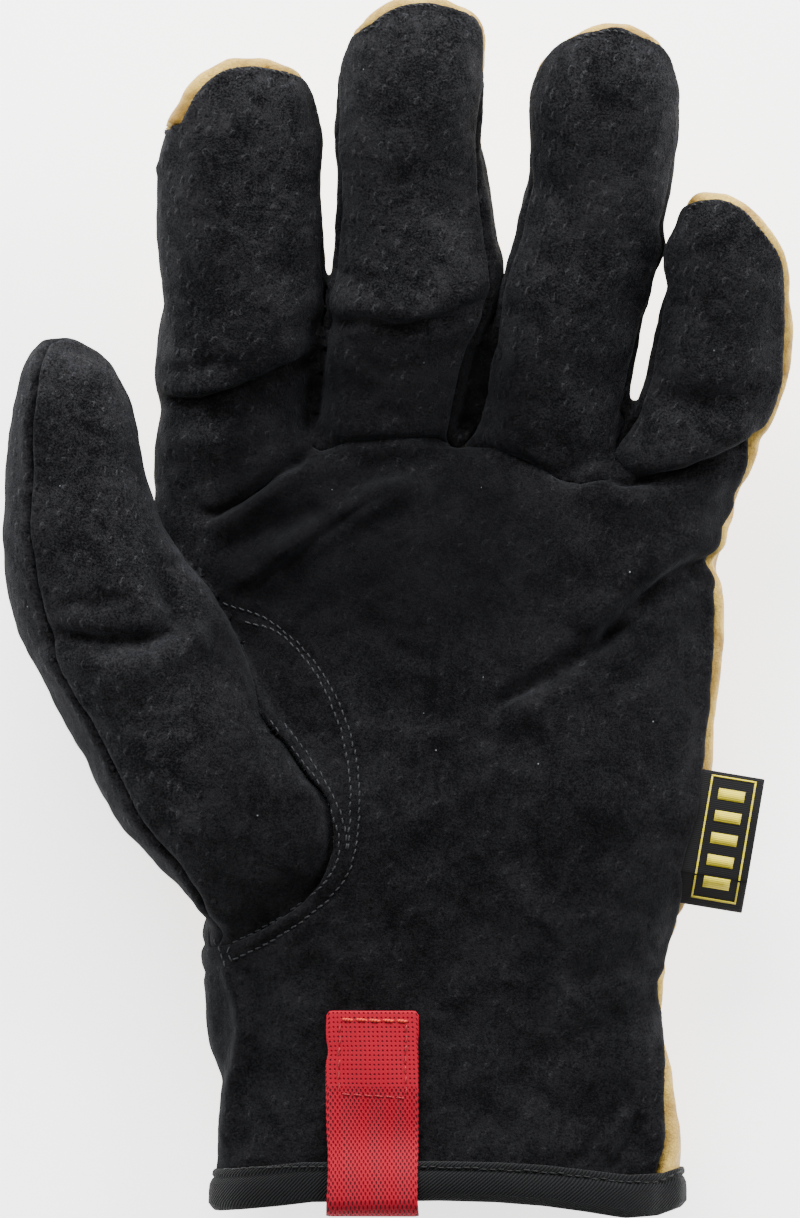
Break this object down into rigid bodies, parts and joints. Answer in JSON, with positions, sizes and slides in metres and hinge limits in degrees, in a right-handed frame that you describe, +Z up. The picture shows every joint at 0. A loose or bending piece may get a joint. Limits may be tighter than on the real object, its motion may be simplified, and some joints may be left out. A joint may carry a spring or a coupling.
{
  "type": "work glove",
  "caption": "Leather driver glove for the left hand, with a dark suede palm over a tan back, a bound cuff and a webbing pull loop.",
  "frame": {"origin": "on the flat of the back of the hand, where the glove rests, below the middle of the palm", "axes": "+X towards the little finger's side, +Y from the cuff to the fingertips, +Z up out of the palm"},
  "size_m": [0.167, 0.255, 0.0668],
  "materials": {
    "black_suede": "brushed suede with embossed pimples",
    "tan_leather": "matt full grain",
    "black_twill": "twill tape",
    "red_webbing": "woven polyester webbing",
    "woven_label": "dense woven satin"
  },
  "bodies": {
    "root": {"palm_panel": "black_suede", "middle_finger_front": "black_suede", "ring_finger_front": "black_suede", "fourchette_index_middle": "black_suede", "fourchette_middle_ring": "black_suede", "fourchette_ring_little": "black_suede", "thumb_front": "black_suede", "thumb_back": "black_suede", "back_panel": "tan_leather", "cuff_binding": "black_twill", "pull_tab": "red_webbing", "side_label": "woven_label"}
  },
  "joints": []
}
